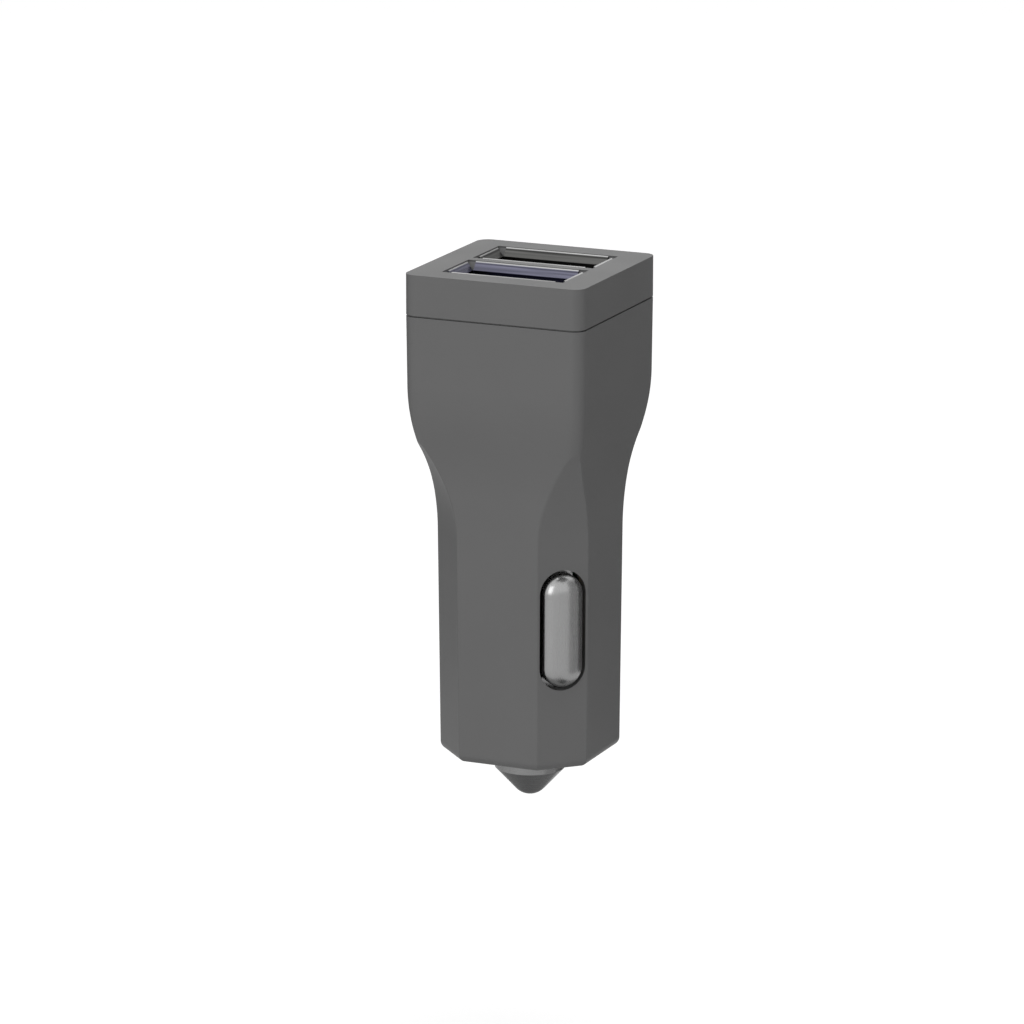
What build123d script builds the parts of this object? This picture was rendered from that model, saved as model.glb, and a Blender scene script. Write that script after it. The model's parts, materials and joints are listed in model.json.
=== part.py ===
import os
from math import cos, radians, sin, tan

from build123d import *

os.makedirs("parts", exist_ok=True)

# Twin-port USB charger plug for a car's power socket, in millimetres.
# The origin is on the plug's axis, in the end face of the barrel. +Z runs from
# the sprung tip to the USB face, +X along the ports' long side, +Y to the rear.

# Outside form
barrel_width = 17.94       # across the main flats, at the end face
corner_width = 19.41       # across the corner flats, at the end face
head_width = 21.46         # across the flats of the square head, at the rim
housing_length = 51.0      # end face to the rim that carries the cap
cap_height = 4.75          # rim to the USB face
draft = 0.5                # mould draft of the main flats, degrees
corner_draft = 0.55        # mould draft of the corner flats, degrees
shoulder_bottom = 31.2     # where the barrel starts to swell into the head
shoulder_top = 42.9        # where the swell has reached the head
sweep_bottom = 25.85       # where the corner flats start to sweep outwards
sweep_radius = 19.5
sweep_turn = 60.0          # degrees, enough to leave the head
head_corner_radius = 1.4
edge_softening = 0.3       # on the long edges of the barrel
end_rounding = 1.0         # round the end face
seam_height = 0.18         # dark line between housing and cap
seam_depth = 0.3

# Moulded walls and fits
wall = 1.6
end_wall = 1.8
core_corner_radius = 0.5
corner_edge_tolerance = 0.001   # how near the diagonal a corner edge of the head lies
fit_gap = 0.1              # between pieces that are put together
slide_gap = 0.05           # between a sprung piece and the wall that stops it

# Tip contact
tip_radius = 4.0
tip_reach = 2.15           # straight part below the end face
tip_cone_angle = 42.6      # half angle, degrees
tip_nose_radius = 2.25
tip_flange_radius = 5.2
tip_flange_thickness = 1.0
tip_bore_radius = 2.6
tip_bore_floor = 1.5       # depth of the bore's floor below the end face

# Tip spring and its seat on the board
spring_wire = 0.5
spring_radius = 2.1        # to the middle of the wire
spring_turns = 6
seat_radius = 3.2
seat_thickness = 0.5
seat_boss_radius = 1.6
seat_boss_height = 1.0
prong_width = 3.0
prong_height = 3.0
prong_thickness = 0.4
prong_corner = 1.0

# Side contacts, on the front right and the rear left corner flat
contact_height = 16.2      # middle of the contact above the end face
contact_width = 4.6
contact_length = 13.0
contact_stand = 1.3        # crown of the contact above its flat
contact_slot_gap = 0.43    # dark gap round the contact
contact_sheet = 0.5
tab_thickness = 0.6
tab_width = 3.6
tab_overlap = 1.2          # tab behind the wall, past the end of the slot

# Leaf springs and brackets behind the side contacts
leaf_width = 2.6
leaf_thickness = 0.25
bracket_distance = 5.2     # plug's axis to the middle of the bracket's plate
bracket_thickness = 0.3
bracket_height = 8.0
bracket_foot = 2.8
bracket_bend = 0.35
bracket_plate_end = 1.5    # how far the plate passes the leaf's middle

# Circuit board and its guides
board_width = 14.6
board_thickness = 1.6
board_bottom = 9.5
rib_thickness = 0.8
rib_engagement = 0.55
rib_top = 40.0

# Cap
cap_plate = 2.2
skirt_depth = 3.2
skirt_thickness = 1.2
skirt_lead_in = 0.4
hook_width = 5.0
hook_height = 1.0
hook_reach = 0.4
hook_drop = 1.2            # rim to the flat side of the hook

# USB ports, back to back with the board between them
port_pitch = 8.34
shell_width = 13.1
shell_height = 5.72
shell_sheet = 0.3
shell_length = 14.0        # from the USB face, which the lips are flush with
shell_corner = 0.5
lip_angle = 40.0           # flare of the four lips, degrees
lip_length = 0.95
lip_corner = 0.35          # left out at each end of a lip
finger_width = 1.8
finger_length = 4.5
finger_slit = 0.35
finger_spacing = 5.6
finger_top = 3.0           # USB face to the root of the fingers
foot_width = 1.6
foot_spacing = 7.0
tongue_width = 11.1
tongue_thickness = 1.84
tongue_recess = 1.3
tongue_length = 8.2
tongue_edge = 0.35
pin_width = 1.0
pin_thickness = 0.3
pin_proud = 0.1
pin_start = 0.9            # tip of the tongue to the pin's end
pin_positions = (-3.5, -1.0, 1.0, 3.5)
pin_tail = 0.8             # below the shell

# What the board carries is placed along its free length, from its lower end, 0,
# to the ports' shells, 1. The front of the board faces -Y.
board_sides = {"front": -1, "rear": 1}

# Power inductor: drum core and winding, on the front of the board
inductor_place = 0.75
core_radius = 3.9
core_length = 4.8
core_flange = 0.8
core_waist = 2.0
winding_radius = 3.4
winding_wire = 0.35
winding_bulge = 0.12       # how far each turn stands out of its neighbours' grooves

# Capacitor cans: name, radius, length, x position, place of the middle
cans = (
    ("input_capacitor", 3.15, 11.0, -3.2, 0.747),
    ("output_capacitor", 2.5, 9.0, 3.4, 0.76),
)
can_edge = 0.4
can_groove = 0.3           # crimped ring near the lead end
can_groove_height = 1.6
lead_radius = 0.25
lead_spacing = 2.0
lead_drop = 1.3
lead_bend = 0.5

# Moulded chips: name, width, height, thickness, pitch of the leads, side, x, place
chips = (
    ("converter_chip", 3.9, 4.9, 1.45, 1.27, "front", -1.6, 0.489),
    ("port_chip", 1.6, 2.9, 1.1, 0.95, "rear", 2.6, 0.47),
)
chip_lead_reach = 1.05
chip_lead_shoulder = 0.35  # level part of a lead beside the body
chip_lead_width = 0.4
chip_lead_thickness = 0.2
chip_edge = 0.15

# Two-terminal chips: name, width, height, thickness, side, x, place
small_chips = (
    ("diode", 4.3, 2.6, 2.1, "front", 4.1, 0.563),
    ("fuse", 3.2, 1.6, 0.9, "rear", 3.4, 0.345),
    ("chip_resistor_1", 2.0, 1.25, 0.5, "front", -4.4, 0.159),
    ("chip_resistor_2", 2.0, 1.25, 0.5, "front", -4.4, 0.24),
    ("chip_resistor_3", 2.0, 1.25, 0.5, "rear", 3.6, 0.159),
    ("chip_resistor_4", 2.0, 1.25, 0.5, "rear", 3.6, 0.24),
    ("chip_capacitor_1", 2.0, 1.25, 1.0, "front", -1.0, 0.24),
    ("chip_capacitor_2", 2.0, 1.25, 1.0, "rear", 0.2, 0.24),
    ("chip_capacitor_3", 2.0, 1.25, 1.0, "front", -4.9, 0.364),
)
terminal_share = 0.2
terminal_coat = 0.04

# Values that follow from the ones above
total_length = housing_length + cap_height
half_board = board_thickness / 2
board_top = total_length - cap_plate - fit_gap
plate_bottom = total_length - cap_plate
port_offset = port_pitch / 2
shell_bottom = total_length - shell_length
lip_out = lip_length * sin(radians(lip_angle))
lip_up = lip_length * cos(radians(lip_angle))
lip_edge_out = shell_sheet * cos(radians(lip_angle))
lip_edge_up = shell_sheet * sin(radians(lip_angle))
lip_root = total_length - lip_up - lip_edge_up
tongue_tip = total_length - tongue_recess
contact_depth = wall + slide_gap + tab_thickness
slot_width = contact_width + 2 * contact_slot_gap
slot_length = contact_length + 2 * contact_slot_gap
tab_end = slot_length / 2 + tab_overlap


def flat_distance(height, inset=0.0):
    """Distance of a main flat of the barrel from the axis, at a height."""
    return barrel_width / 2 + height * tan(radians(draft)) - inset


def head_distance(height, inset=0.0):
    """Distance of a flat of the head from the axis, at a height."""
    return head_width / 2 - (housing_length - height) * tan(radians(draft)) - inset


def corner_distance(height, inset=0.0):
    """Distance of a corner flat of the barrel from the axis, at a height."""
    return corner_width / 2 + height * tan(radians(corner_draft)) - inset


def board_height(place):
    """Height of a place along the free length of the board."""
    return board_bottom + place * (shell_bottom - board_bottom)


def upright(angle, middle_y=0.0):
    """Upright plane over (0, middle_y), its x direction turned by angle from +X."""
    along = (cos(radians(angle)), sin(radians(angle)), 0)
    across = (sin(radians(angle)), -cos(radians(angle)), 0)
    return Plane(origin=(0, middle_y, 0), x_dir=along, z_dir=across)


def level(height, angle=0.0):
    """Level plane at a height, its x direction turned by angle from +X."""
    turn = radians(angle)
    return Plane(origin=(0, 0, height), x_dir=(cos(turn), sin(turn), 0))


def contact_flat(angle, depth=0.0):
    """Plane on a corner flat at the side contact's middle, or depth behind it."""
    turn = radians(angle)
    lean = radians(corner_draft)
    outwards = Vector(cos(turn) * cos(lean), sin(turn) * cos(lean), -sin(lean))
    middle = corner_distance(contact_height)
    surface = Vector(middle * cos(turn), middle * sin(turn), contact_height)
    along = (-sin(turn), cos(turn), 0)
    return Plane(origin=surface - outwards * depth, x_dir=along, z_dir=outwards)


def side_outline(angle, inset, base, rounding):
    """Outline across two opposite flats: barrel, two tangent arcs, head."""
    foot = Vector(flat_distance(shoulder_bottom, inset), shoulder_bottom)
    crest = Vector(head_distance(shoulder_top, inset), shoulder_top)
    with BuildSketch(upright(angle)) as outline:
        with BuildLine():
            barrel = Line((flat_distance(base, inset), base), foot)
            swell = TangentArc(barrel @ 1, (foot + crest) / 2, tangent=barrel % 1)
            shoulder = TangentArc(swell @ 1, crest, tangent=swell % 1)
            head = Line(shoulder @ 1, (head_distance(housing_length, inset), housing_length))
            Polyline(head @ 1, (0, housing_length), (0, base), barrel @ 0)
        make_face()
        mirror(about=Plane.YZ)
        if rounding:
            fillet(outline.vertices().group_by(Axis.Y)[0], rounding)
    return outline.sketch


def corner_outline(angle, inset, base, rounding):
    """Outline across two opposite corner flats, which sweep out into the head."""
    with BuildSketch(upright(angle)) as outline:
        with BuildLine():
            bottom = (corner_distance(base, inset), base)
            flat = Line(bottom, (corner_distance(sweep_bottom, inset), sweep_bottom))
            sweep_arc = JernArc(flat @ 1, flat % 1, radius=sweep_radius, arc_size=-sweep_turn)
            above = Line(sweep_arc @ 1, ((sweep_arc @ 1).X, housing_length))
            Polyline(above @ 1, (0, housing_length), (0, base), flat @ 0)
        make_face()
        mirror(about=Plane.YZ)
        if rounding:
            fillet(outline.vertices().group_by(Axis.Y)[0], rounding)
    return outline.sketch


def on_head_corner(edge):
    """True for the upright corner edges of the square head."""
    middle = edge @ 0.5
    rises = abs((edge @ 0).Z - (edge @ 1).Z) > core_corner_radius
    diagonal = abs(abs(middle.X) - abs(middle.Y)) < corner_edge_tolerance
    return rises and diagonal and middle.Z > sweep_bottom


def on_barrel(edge):
    """True for the long straight edges of the eight-sided barrel."""
    return edge.length > sweep_bottom / 2 and edge.center().Z < sweep_bottom


def plug_form(inset, base, corner_radius, rounding=0.0, softening=0.0):
    """Square head that blends into an eight-sided barrel, as one solid."""
    with BuildPart() as form:
        extrude(side_outline(0, inset, base, rounding), amount=head_width, both=True)
        for outline, angle in ((side_outline, 90), (corner_outline, -45), (corner_outline, 45)):
            across = outline(angle, inset, base, rounding)
            extrude(across, amount=head_width, both=True, mode=Mode.INTERSECT)
        fillet(form.edges().filter_by(on_head_corner), corner_radius)
        if softening:
            fillet(form.edges().filter_by(on_barrel), softening)
    return form.part


# Core: the space inside the housing, less the guide ribs for the board
with BuildPart() as core:
    add(plug_form(wall, end_wall, core_corner_radius))
    rib_inside = board_width / 2 - rib_engagement
    rib_outside = head_width / 2
    rib_length = rib_outside - rib_inside
    rib_x = (rib_inside + rib_outside) / 2
    rib_y = half_board + fit_gap + rib_thickness / 2
    with BuildSketch(level(end_wall)):
        with GridLocations(2 * rib_x, 2 * rib_y, 2, 2):
            Rectangle(rib_length, rib_thickness)
    extrude(amount=rib_top - end_wall, mode=Mode.SUBTRACT)
    with BuildSketch(level(end_wall)):
        with GridLocations(2 * rib_x, 0, 2, 1):
            Rectangle(rib_length, 2 * rib_y + rib_thickness)
    extrude(amount=board_bottom - end_wall, mode=Mode.SUBTRACT)

# Housing
with BuildPart() as housing:
    add(plug_form(0, 0, head_corner_radius, end_rounding, edge_softening))
    add(core.part, mode=Mode.SUBTRACT)
    with BuildSketch(level(0)):
        Circle(tip_radius + fit_gap)
    extrude(amount=end_wall, mode=Mode.SUBTRACT)
    for angle in (-45, 135):
        with BuildSketch(contact_flat(angle, contact_depth)):
            SlotOverall(slot_length, slot_width, rotation=90)
        extrude(amount=contact_depth + contact_stand, mode=Mode.SUBTRACT)
    recess_height = housing_length - hook_drop - hook_height / 2
    recess_depth = head_distance(recess_height, wall) + hook_reach
    with BuildSketch(level(housing_length - hook_drop + fit_gap)):
        Rectangle(2 * recess_depth, hook_width + 2 * fit_gap)
    extrude(amount=-(hook_height + 2 * fit_gap), mode=Mode.SUBTRACT)
housing.part.label = "housing"
export_step(housing.part, "parts/housing.step")

# Cap with its skirt, snap hooks and the two port openings
skirt_outside = head_distance(housing_length, wall + fit_gap)
skirt_inside = skirt_outside - skirt_thickness
skirt_bottom = housing_length - skirt_depth
seam_width = head_width - 2 * seam_depth
with BuildPart() as face_cap:
    with BuildSketch(level(housing_length)):
        RectangleRounded(seam_width, seam_width, head_corner_radius - seam_depth)
    extrude(amount=seam_height)
    with BuildSketch(level(housing_length + seam_height)):
        RectangleRounded(head_width, head_width, head_corner_radius)
    extrude(amount=cap_height - seam_height)
    with BuildSketch(level(housing_length)):
        RectangleRounded(2 * skirt_outside, 2 * skirt_outside, core_corner_radius)
    extrude(amount=-skirt_depth)
    chamfer(face_cap.faces().sort_by(Axis.Z)[0].edges(), skirt_lead_in)
    with BuildSketch(level(plate_bottom)):
        RectangleRounded(2 * skirt_inside, 2 * skirt_inside, core_corner_radius)
    extrude(amount=skirt_bottom - plate_bottom, mode=Mode.SUBTRACT)
    hook_top = housing_length - hook_drop
    with BuildSketch(Plane.XZ):
        with BuildLine():
            Polyline(
                (skirt_outside - hook_reach, hook_top),
                (skirt_outside + hook_reach, hook_top),
                (skirt_outside, hook_top - hook_height),
                (skirt_outside - hook_reach, hook_top - hook_height),
                close=True,
            )
        make_face()
        mirror(about=Plane.YZ)
    extrude(amount=hook_width / 2, both=True)
    with BuildSketch(level(plate_bottom)):
        Rectangle(board_width + 2 * fit_gap, board_thickness + 2 * fit_gap)
    extrude(amount=skirt_bottom - plate_bottom, mode=Mode.SUBTRACT)
    mouth_gap = 2 * (lip_out + fit_gap)
    for side in board_sides.values():
        with BuildSketch(level(lip_root + lip_up)) as opening:
            with Locations((0, side * port_offset)):
                Rectangle(shell_width + mouth_gap, shell_height + mouth_gap)
        extrude(amount=total_length - lip_root - lip_up, mode=Mode.SUBTRACT)
        extrude(opening.sketch, amount=-lip_up, taper=lip_angle, mode=Mode.SUBTRACT)
        with BuildSketch(level(lip_root)):
            with Locations((0, side * port_offset)):
                RectangleRounded(
                    shell_width + 2 * fit_gap, shell_height + 2 * fit_gap, shell_corner + fit_gap
                )
        extrude(amount=skirt_bottom - lip_root, mode=Mode.SUBTRACT)
face_cap.part.label = "face_cap"
export_step(face_cap.part, "parts/face_cap.step")

# Tip contact: turned pin with a flange inside the barrel and a bore for its spring
cone = radians(tip_cone_angle)
nose_edge = tip_nose_radius * cos(cone)
nose_top = -tip_reach - (tip_radius - nose_edge) / tan(cone)
nose_middle = nose_top + tip_nose_radius * sin(cone)
flange_bottom = end_wall + slide_gap
with BuildPart() as tip_contact:
    with BuildSketch(Plane.XZ):
        with BuildLine():
            nose = CenterArc((0, nose_middle), tip_nose_radius, -90, 90 - tip_cone_angle)
            Polyline(
                nose @ 1,
                (tip_radius, -tip_reach),
                (tip_radius, flange_bottom),
                (tip_flange_radius, flange_bottom),
                (tip_flange_radius, flange_bottom + tip_flange_thickness),
                (tip_bore_radius, flange_bottom + tip_flange_thickness),
                (tip_bore_radius, -tip_bore_floor),
                (0, -tip_bore_floor),
                nose @ 0,
            )
        make_face()
    revolve(axis=Axis.Z)
tip_contact.part.label = "tip_contact"
export_step(tip_contact.part, "parts/tip_contact.step")

# Tip spring, from the floor of the tip's bore to the seat under the board
seat_bottom = board_bottom - seat_thickness
spring_bottom = -tip_bore_floor + spring_wire / 2 + slide_gap
spring_top = seat_bottom - spring_wire / 2 - slide_gap
spring_length = spring_top - spring_bottom
with BuildPart() as tip_spring:
    with BuildLine(level(spring_bottom)):
        coil = Helix(spring_length / spring_turns, spring_length, spring_radius)
    with BuildSketch(Plane(origin=coil @ 0, z_dir=coil % 0)):
        Circle(spring_wire / 2)
    sweep(path=coil, is_frenet=True)
tip_spring.part.label = "tip_spring"
export_step(tip_spring.part, "parts/tip_spring.step")

# Spring seat: brass disc with a boss in the spring and two prongs on the board
with BuildPart() as spring_seat:
    with BuildSketch(level(seat_bottom)):
        Circle(seat_radius)
    extrude(amount=seat_thickness)
    with BuildSketch(level(seat_bottom)):
        Circle(seat_boss_radius)
    extrude(amount=-seat_boss_height)
    with BuildSketch(level(board_bottom)):
        with GridLocations(0, board_thickness + prong_thickness, 1, 2):
            Rectangle(prong_width, prong_thickness)
    extrude(amount=prong_height)
    fillet(spring_seat.edges().filter_by(Axis.Y).group_by(Axis.Z)[-1], prong_corner)
spring_seat.part.label = "spring_seat"
export_step(spring_seat.part, "parts/spring_seat.step")


def contact_shell(angle, inset):
    """Long domed button on a corner flat, or the same smaller by inset."""
    back = contact_flat(angle, contact_depth)
    face = contact_flat(angle)
    radius = contact_width / 2 - inset
    straight = contact_length - contact_width
    along = Plane(origin=face.origin, x_dir=face.x_dir, z_dir=face.x_dir.cross(face.z_dir))
    with BuildPart() as button:
        with BuildSketch(back):
            SlotCenterToCenter(straight, 2 * radius, rotation=90)
        extrude(amount=contact_depth)
        with BuildSketch(along) as crown:
            Ellipse(radius, contact_stand - inset)
            with Locations((0, contact_stand)):
                Rectangle(2 * radius, 2 * contact_stand, mode=Mode.INTERSECT)
        extrude(amount=straight / 2, both=True)
        for end in (-1, 1):
            middle = face.origin + face.y_dir * (end * straight / 2)
            with BuildSketch(Plane(origin=middle, x_dir=along.x_dir, z_dir=along.z_dir)):
                Ellipse(radius, contact_stand - inset)
                with Locations((radius, contact_stand)):
                    Rectangle(2 * radius, 2 * contact_stand, mode=Mode.INTERSECT)
            revolve(axis=Axis(middle, face.z_dir))
    return button.part


# Side contacts, their leaf springs and the brackets that hold the springs
for name, angle in (("front", -45), ("rear", 135)):
    with BuildPart() as ground_contact:
        add(contact_shell(angle, 0))
        with BuildSketch(contact_flat(angle, contact_depth)):
            Rectangle(tab_width, 2 * tab_end)
        extrude(amount=tab_thickness)
        add(contact_shell(angle, contact_sheet), mode=Mode.SUBTRACT)
    ground_contact.part.label = "ground_contact_" + name
    export_step(ground_contact.part, "parts/ground_contact_" + name + ".step")

    plate_face = bracket_distance + bracket_thickness / 2
    leaf_middle = plate_face + slide_gap + leaf_thickness / 2
    leaf_reach = (slot_length / 2 + tab_end) / 2
    leaf_ends = []
    for end in (-1, 1):
        height = contact_height + end * leaf_reach
        tab_face = corner_distance(height, contact_depth)
        leaf_ends.append((tab_face - slide_gap - leaf_thickness / 2, height))
    with BuildPart() as ground_spring:
        with BuildSketch(upright(angle)):
            with BuildLine():
                ThreePointArc(leaf_ends[0], (leaf_middle, contact_height), leaf_ends[1])
            trace(line_width=leaf_thickness)
        extrude(amount=leaf_width / 2, both=True)
    ground_spring.part.label = "ground_spring_" + name
    export_step(ground_spring.part, "parts/ground_spring_" + name + ".step")

    diagonal = cos(radians(45))
    foot_y = -half_board - bracket_thickness / 2
    fold_x = bracket_distance / diagonal + foot_y
    foot_end = (fold_x - bracket_foot, foot_y)
    plate_end = (
        (bracket_distance - bracket_plate_end) * diagonal,
        (-bracket_distance - bracket_plate_end) * diagonal,
    )
    with BuildPart() as ground_bracket:
        with BuildSketch(level(contact_height - bracket_height / 2, angle + 45)):
            with BuildLine():
                FilletPolyline(foot_end, (fold_x, foot_y), plate_end, radius=bracket_bend)
            trace(line_width=bracket_thickness)
        extrude(amount=bracket_height)
    ground_bracket.part.label = "ground_bracket_" + name
    export_step(ground_bracket.part, "parts/ground_bracket_" + name + ".step")

# Circuit board with the holes for the capacitors' leads
with BuildPart() as circuit_board:
    with BuildSketch(Plane.XZ):
        with Locations((0, (board_bottom + board_top) / 2)):
            Rectangle(board_width, board_top - board_bottom)
        for name, radius, length, x, place in cans:
            with Locations((x, board_height(place) - length / 2 - lead_drop)):
                with GridLocations(lead_spacing, 0, 2, 1):
                    Circle(lead_radius + fit_gap, mode=Mode.SUBTRACT)
    extrude(amount=half_board, both=True)
circuit_board.part.label = "circuit_board"
export_step(circuit_board.part, "parts/circuit_board.step")

# USB ports: folded steel shell, moulded insulator with its tongue, four pins
for name, side in board_sides.items():
    middle_y = side * port_offset
    with BuildPart() as usb_shell:
        with BuildSketch(level(shell_bottom)):
            with Locations((0, middle_y)):
                RectangleRounded(shell_width, shell_height, shell_corner)
                RectangleRounded(
                    shell_width - 2 * shell_sheet,
                    shell_height - 2 * shell_sheet,
                    shell_corner - shell_sheet,
                    mode=Mode.SUBTRACT,
                )
        extrude(amount=lip_root - shell_bottom)
        for turn, reach, breadth in ((0, shell_width, shell_height), (90, shell_height, shell_width)):
            half_reach = reach / 2
            with BuildSketch(upright(turn, middle_y)):
                with BuildLine():
                    Polyline(
                        (half_reach - shell_sheet, lip_root),
                        (half_reach, lip_root),
                        (half_reach + lip_out, lip_root + lip_up),
                        (half_reach + lip_out - lip_edge_out, total_length),
                        close=True,
                    )
                make_face()
                mirror(about=Plane.YZ)
            extrude(amount=breadth / 2 - lip_corner, both=True)
        hanging = (Align.CENTER, Align.MAX)
        slit_width = finger_width + 2 * finger_slit
        with BuildSketch(Plane.XZ.offset(-middle_y)):
            with Locations((0, total_length - finger_top)):
                with GridLocations(finger_spacing, 0, 2, 1):
                    Rectangle(slit_width, finger_length + finger_slit, align=hanging)
                    Rectangle(finger_width, finger_length, align=hanging, mode=Mode.SUBTRACT)
        extrude(amount=shell_height, both=True, mode=Mode.SUBTRACT)
        foot_top = port_offset - shell_height / 2 + shell_corner
        with BuildSketch(Plane.YZ.offset(shell_width / 2)):
            with Locations((side * (half_board + foot_top) / 2, shell_bottom + shell_length / 2)):
                with GridLocations(0, foot_spacing, 1, 2):
                    Rectangle(foot_top - half_board, foot_width)
        extrude(amount=-shell_sheet)
        mirror(about=Plane.YZ)
    usb_shell.part.label = "usb_shell_" + name
    export_step(usb_shell.part, "parts/usb_shell_" + name + ".step")

    tongue_middle = side * (port_offset + tongue_thickness / 2)
    tongue_root = tongue_tip - tongue_length
    pin_middle = side * (port_offset - pin_proud + pin_thickness / 2)
    block_gap = 2 * (shell_sheet + fit_gap)
    with BuildPart() as usb_tongue:
        with BuildSketch(level(shell_bottom)):
            with Locations((0, middle_y)):
                Rectangle(shell_width - block_gap, shell_height - block_gap)
        extrude(amount=tongue_root - shell_bottom)
        with BuildSketch(level(tongue_root)):
            with Locations((0, tongue_middle)):
                Rectangle(tongue_width, tongue_thickness)
        extrude(amount=tongue_length)
        chamfer(usb_tongue.faces().sort_by(Axis.Z)[-1].edges(), tongue_edge)
        with BuildSketch(level(tongue_tip - pin_start)):
            for x in pin_positions:
                with Locations((x, pin_middle)):
                    Rectangle(pin_width, pin_thickness)
        extrude(amount=-(tongue_tip - pin_start - shell_bottom), mode=Mode.SUBTRACT)
    usb_tongue.part.label = "usb_tongue_" + name
    export_step(usb_tongue.part, "parts/usb_tongue_" + name + ".step")

    for number, x in enumerate(pin_positions, start=1):
        back_y = pin_middle + side * pin_thickness / 2
        front_y = pin_middle - side * pin_thickness / 2
        tail = shell_bottom - pin_tail
        with BuildPart() as usb_pin:
            with BuildSketch(Plane.YZ.offset(x)):
                with BuildLine():
                    Polyline(
                        (front_y, tongue_tip - pin_start),
                        (back_y, tongue_tip - pin_start),
                        (back_y, tail),
                        (side * half_board, tail),
                        (side * half_board, tail + pin_thickness),
                        (front_y, tail + pin_thickness),
                        close=True,
                    )
                make_face()
            extrude(amount=pin_width / 2, both=True)
        usb_pin.part.label = "usb_pin_" + name + "_" + str(number)
        export_step(usb_pin.part, "parts/" + usb_pin.part.label + ".step")

# Power inductor
inductor_height = board_height(inductor_place)
with BuildPart() as inductor_core:
    with BuildSketch(Plane.XZ.offset(half_board)):
        with Locations((0, inductor_height)):
            Circle(core_radius)
    extrude(amount=core_flange)
    with BuildSketch(Plane.XZ.offset(half_board + core_flange)):
        with Locations((0, inductor_height)):
            Circle(core_waist)
    extrude(amount=core_length - 2 * core_flange)
    with BuildSketch(Plane.XZ.offset(half_board + core_length - core_flange)):
        with Locations((0, inductor_height)):
            Circle(core_radius)
    extrude(amount=core_flange)
inductor_core.part.label = "inductor_core"
export_step(inductor_core.part, "parts/inductor_core.step")

# Its winding: rounded turns side by side on the waist of the core
with BuildPart() as inductor_winding:
    width = core_length - 2 * core_flange - 2 * fit_gap
    turns = int(width / winding_wire)
    first = half_board + core_flange + fit_gap + (width - turns * winding_wire) / 2
    with BuildSketch(Plane.YZ):
        with BuildLine():
            groove_height = inductor_height + winding_radius
            for turn in range(turns):
                start = first + turn * winding_wire
                end = start + winding_wire
                SagittaArc((-start, groove_height), (-end, groove_height), -winding_bulge)
            Polyline(
                (-end, groove_height),
                (-end, inductor_height + core_waist),
                (-first, inductor_height + core_waist),
                (-first, groove_height),
            )
        make_face()
    revolve(axis=Axis((0, 0, inductor_height), (0, 1, 0)))
inductor_winding.part.label = "inductor_winding"
export_step(inductor_winding.part, "parts/inductor_winding.step")

# Capacitor cans with their two leads bent into the board
for name, radius, length, x, place in cans:
    middle_y = half_board + fit_gap + radius
    bottom = board_height(place) - length / 2
    with BuildPart() as can:
        with BuildSketch(Plane(origin=(x, middle_y, 0), x_dir=(1, 0, 0), z_dir=(0, -1, 0))):
            with BuildLine():
                top = bottom + length
                groove = bottom + can_groove_height
                lower = (radius, groove - can_groove)
                upper = (radius, groove + can_groove)
                Polyline((0, bottom), (radius - can_edge, bottom), (radius, bottom + can_edge), lower)
                ThreePointArc(lower, (radius - can_groove, groove), upper)
                Polyline(upper, (radius, top - can_edge), (radius - can_edge, top), (0, top), (0, bottom))
            make_face()
        revolve(axis=Axis((x, middle_y, 0), (0, 0, 1)))
        for lead_x in (x - lead_spacing / 2, x + lead_spacing / 2):
            with BuildLine() as lead:
                FilletPolyline(
                    (lead_x, middle_y, bottom + can_edge),
                    (lead_x, middle_y, bottom - lead_drop),
                    (lead_x, -half_board, bottom - lead_drop),
                    radius=lead_bend,
                )
            with BuildSketch(Plane(origin=lead.line @ 0, z_dir=lead.line % 0)):
                Circle(lead_radius)
            sweep(path=lead.line)
    can.part.label = name
    export_step(can.part, "parts/" + name + ".step")

# Moulded chips with bent leads
for name, width, height, thickness, pitch, side_name, x, place in chips:
    side = board_sides[side_name]
    z = board_height(place)
    leads = round(height / pitch)
    with BuildPart() as chip:
        face = Plane(origin=(x, side * half_board, z), x_dir=(1, 0, 0), z_dir=(0, side, 0))
        with BuildSketch(face.offset(fit_gap)):
            Rectangle(width, height)
        extrude(amount=thickness - fit_gap)
        chamfer(chip.faces().sort_by(Axis.Y)[0 if side < 0 else -1].edges(), chip_edge)
        for end in (-1, 1):
            for number in range(leads):
                along = (number - (leads - 1) / 2) * pitch
                root = end * (width / 2 - chip_edge)
                knee = end * (width / 2 + chip_lead_shoulder)
                toe = end * (width / 2 + chip_lead_reach)
                half = chip_lead_thickness / 2
                foot = (x, side * half_board, z + along)
                with BuildSketch(Plane(origin=foot, x_dir=(1, 0, 0), z_dir=(0, 0, side))):
                    with BuildLine():
                        Polyline((root, thickness / 2), (knee, thickness / 2), (knee, half), (toe, half))
                    trace(line_width=chip_lead_thickness)
                extrude(amount=chip_lead_width / 2, both=True)
    chip.part.label = name
    export_step(chip.part, "parts/" + name + ".step")

# Small chips with a metal terminal at each end
for name, width, height, thickness, side_name, x, place in small_chips:
    side = board_sides[side_name]
    middle = (x, side * half_board, board_height(place))
    face = Plane(origin=middle, x_dir=(1, 0, 0), z_dir=(0, side, 0))
    terminal = width * terminal_share
    with BuildPart() as small_chip:
        with BuildSketch(face.offset(terminal_coat)):
            Rectangle(width, height)
        extrude(amount=thickness)
        with BuildSketch(face):
            with GridLocations(width - terminal, 0, 2, 1):
                Rectangle(terminal + terminal_coat, height + 2 * terminal_coat)
        extrude(amount=thickness + 2 * terminal_coat)
    small_chip.part.label = name
    export_step(small_chip.part, "parts/" + name + ".step")
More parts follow.
